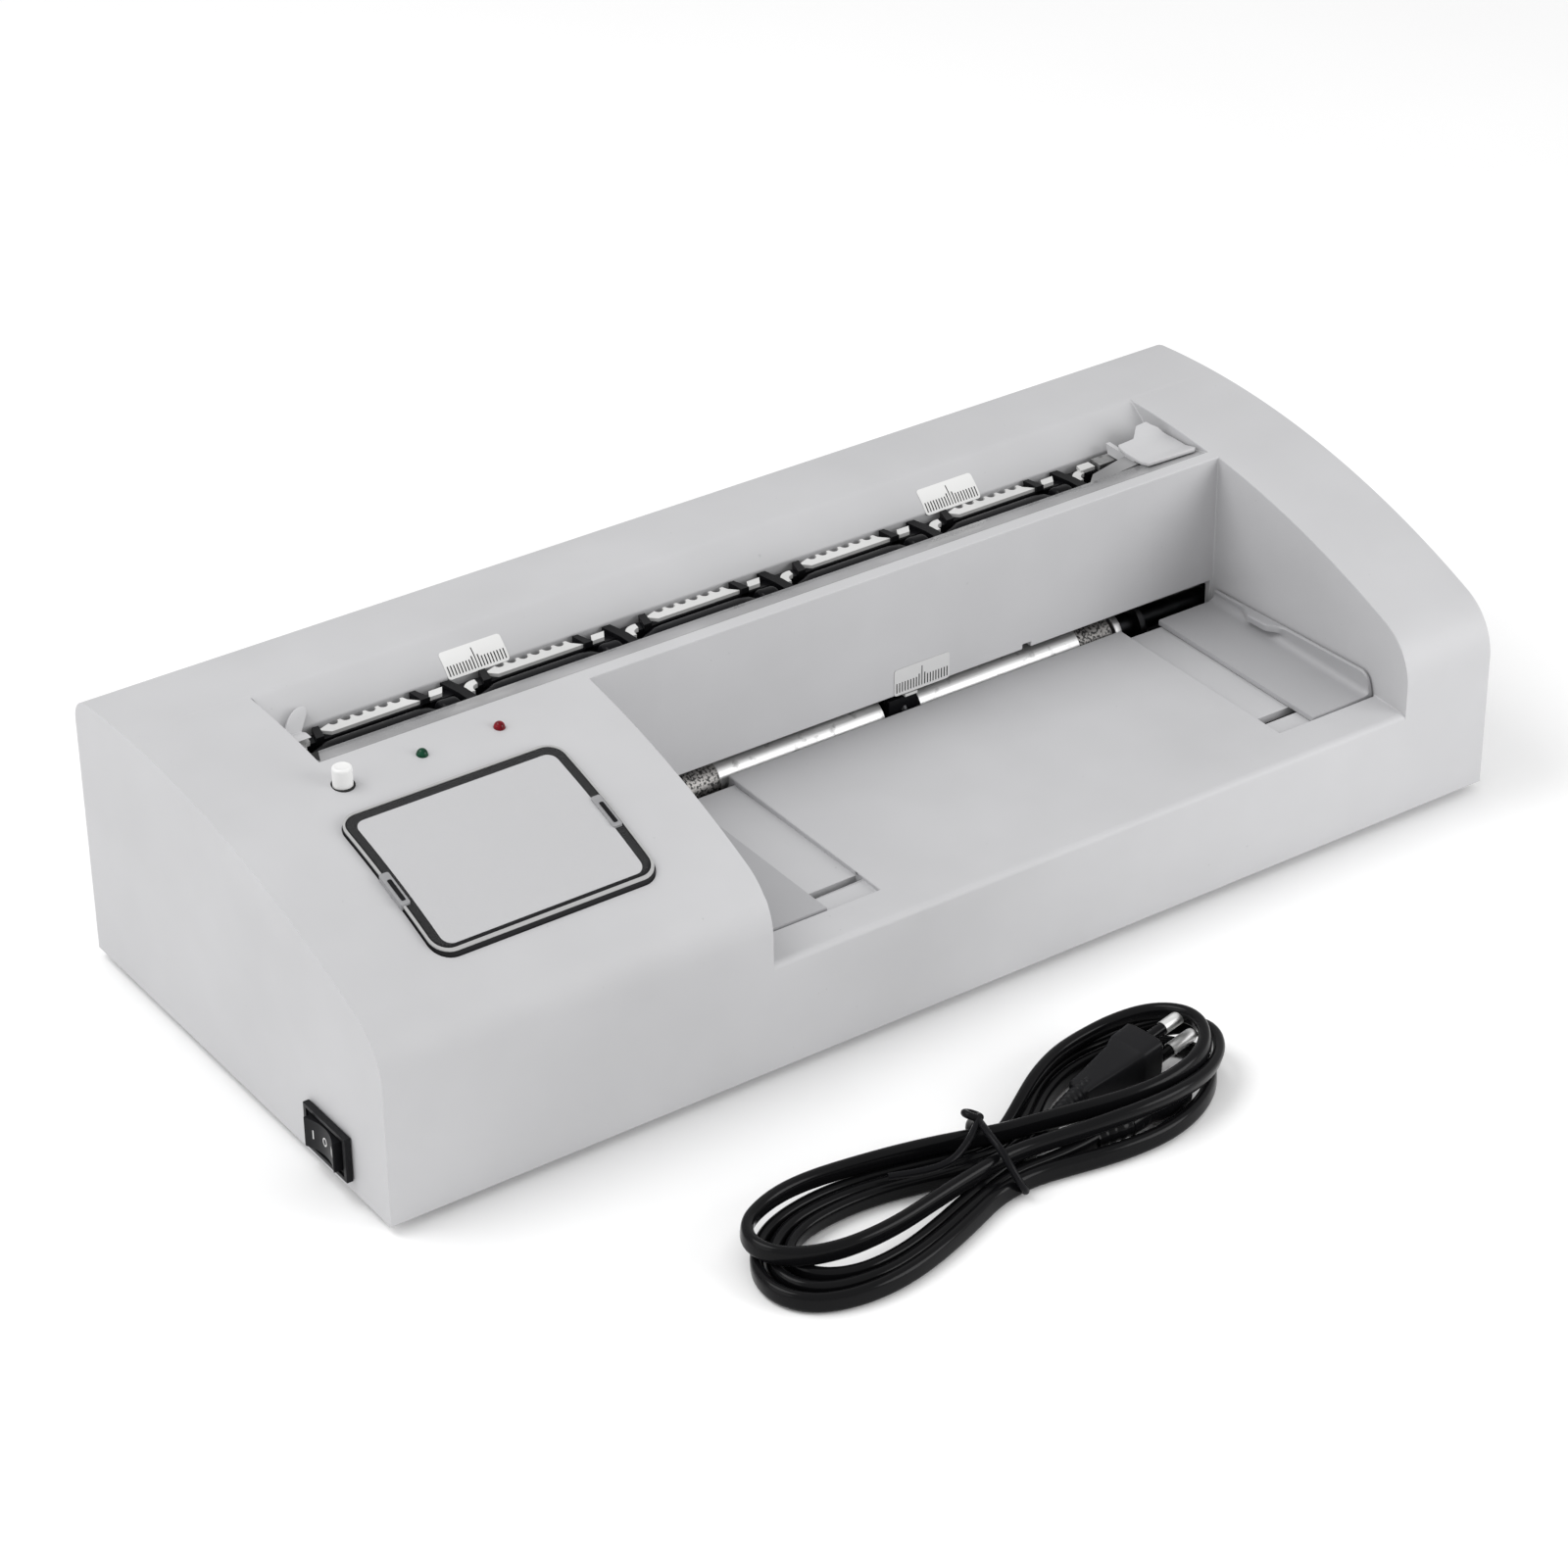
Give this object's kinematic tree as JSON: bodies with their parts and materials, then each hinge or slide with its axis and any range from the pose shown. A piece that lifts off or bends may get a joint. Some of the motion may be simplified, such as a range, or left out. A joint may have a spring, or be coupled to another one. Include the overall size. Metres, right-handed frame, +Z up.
{
  "type": "electric business card slitter",
  "caption": "Low desktop card slitter: curved grey housing with a paper well across the top, a sunken front tray, a control console and a tied mains lead.",
  "frame": {"origin": "centre of the footprint, on the surface the feet rest on", "axes": "+X along the housing towards its right end, +Y from the tray at the front to the back, +Z up"},
  "size_m": [0.3852, 0.2621, 0.0898],
  "materials": {
    "housing_plastic": "light grey ABS, fine moulded texture",
    "guide_plastic": "mid grey ABS, fine texture",
    "black_plastic": "black, satin to glossy",
    "white_plastic": "white, slight sheen",
    "sheet_steel": "zinc plated",
    "blackened_steel": "oiled black",
    "aluminium": "turned, bright",
    "gear_nylon": "natural nylon",
    "foot_rubber": "black, matt",
    "clear_acrylic": "clear, glossy",
    "label_card": "plain card, matt",
    "green_lens": "tinted, glossy",
    "red_lens": "tinted, glossy",
    "circuit_board": "green solder mask",
    "cord_pvc": "black flexible PVC"
  },
  "bodies": {
    "housing": {"top_housing": "housing_plastic", "base_plate": "housing_plastic", "foot_front_left": "foot_rubber", "foot_front_right": "foot_rubber", "foot_back_left": "foot_rubber", "foot_back_right": "foot_rubber", "screw_front_left": "sheet_steel", "screw_front_right": "sheet_steel", "screw_back_left": "sheet_steel", "screw_back_right": "sheet_steel", "side_plate_left": "sheet_steel", "side_plate_right": "sheet_steel", "bearing_block_left": "white_plastic", "bearing_block_right": "white_plastic", "tie_bar_front": "sheet_steel", "tie_bar_back": "sheet_steel", "exit_chute": "sheet_steel", "idler_axle": "sheet_steel", "gear_motor": "sheet_steel", "transformer": "sheet_steel", "control_board": "circuit_board", "button_switch": "black_plastic", "led_green": "green_lens", "led_red": "red_lens", "label_card": "label_card", "label_cover": "clear_acrylic", "mains_inlet": "black_plastic", "rocker_bezel": "black_plastic", "comb_rail": "blackened_steel", "front_guide_strip": "black_plastic", "stripper_comb_1": "white_plastic", "stripper_comb_2": "white_plastic", "stripper_comb_3": "white_plastic", "stripper_comb_4": "white_plastic", "stripper_comb_5": "white_plastic", "cord_hank": "cord_pvc", "cord_plug": "cord_pvc", "cord_connector": "cord_pvc", "cord_tie": "black_plastic"},
    "slitter_front": {"slitter_arbor_front": "blackened_steel", "slitter_gear_front": "gear_nylon", "transfer_gear_upper": "gear_nylon"},
    "slitter_back": {"slitter_arbor_back": "blackened_steel", "slitter_gear_back": "gear_nylon"},
    "card_upper": {"card_arbor_upper": "blackened_steel", "transfer_gear_lower": "gear_nylon", "card_gear_upper": "gear_nylon"},
    "card_lower": {"card_arbor_lower": "blackened_steel", "card_gear_lower": "gear_nylon", "card_roller_left": "aluminium", "card_roller_right": "aluminium"},
    "idler": {"idler_gear": "gear_nylon"},
    "motor": {"motor_pinion": "blackened_steel", "motor_shaft": "sheet_steel"},
    "power_rocker": {"rocker": "black_plastic"},
    "button": {"start_button": "white_plastic"},
    "sheet_guide_left": {"well_guide_left": "guide_plastic"},
    "sheet_guide_right": {"well_guide_right": "guide_plastic"},
    "strip_guide_left": {"tray_guide_left": "guide_plastic"},
    "strip_guide_right": {"tray_guide_right": "guide_plastic"}
  },
  "joints": [
    {"name": "slitter_spin", "type": "hinge", "parent": "housing", "child": "slitter_front", "pos_m": [0, 0.0232, 0.06464], "axis": [1, 0, 0], "continuous": true},
    {"name": "slitter_back_spin", "type": "hinge", "parent": "housing", "child": "slitter_back", "pos_m": [0, 0.0402, 0.06464], "axis": [1, 0, 0], "continuous": true},
    {"name": "card_upper_spin", "type": "hinge", "parent": "housing", "child": "card_upper", "pos_m": [0, 0.0197, 0.048], "axis": [1, 0, 0], "continuous": true},
    {"name": "card_lower_spin", "type": "hinge", "parent": "housing", "child": "card_lower", "pos_m": [0, 0.0157, 0.0325], "axis": [1, 0, 0], "continuous": true},
    {"name": "idler_spin", "type": "hinge", "parent": "housing", "child": "idler", "pos_m": [0, 0.00051, 0.04137], "axis": [1, 0, 0], "continuous": true},
    {"name": "motor_spin", "type": "hinge", "parent": "housing", "child": "motor", "pos_m": [0, -0.0283, 0.033], "axis": [1, 0, 0], "continuous": true},
    {"name": "rocker_tilt", "type": "hinge", "parent": "housing", "child": "power_rocker", "pos_m": [-0.1883, -0.0521, 0.014], "axis": [0, 0, 1], "range_deg": [-10, 10]},
    {"name": "button_press", "type": "slide", "parent": "housing", "child": "button", "axis": [0, 0, -1], "range_m": [0, 0.0025], "stiffness_N_per_m": 400},
    {"name": "sheet_guide_left_slide", "type": "slide", "parent": "housing", "child": "sheet_guide_left", "axis": [1, 0, 0], "range_m": [0, 0.012]},
    {"name": "sheet_guide_right_slide", "type": "slide", "parent": "housing", "child": "sheet_guide_right", "axis": [1, 0, 0], "range_m": [-0.012, 0]},
    {"name": "strip_guide_left_slide", "type": "slide", "parent": "housing", "child": "strip_guide_left", "axis": [1, 0, 0], "range_m": [0, 0.016]},
    {"name": "strip_guide_right_slide", "type": "slide", "parent": "housing", "child": "strip_guide_right", "axis": [1, 0, 0], "range_m": [-0.012, 0]}
  ],
  "couplings": [
    {"joint": "slitter_back_spin", "follows": "slitter_spin", "ratio": -1},
    {"joint": "card_upper_spin", "follows": "slitter_spin", "ratio": -1},
    {"joint": "card_lower_spin", "follows": "slitter_spin", "ratio": 1},
    {"joint": "idler_spin", "follows": "slitter_spin", "ratio": -0.35417},
    {"joint": "motor_spin", "follows": "slitter_spin", "ratio": 1.4167}
  ]
}
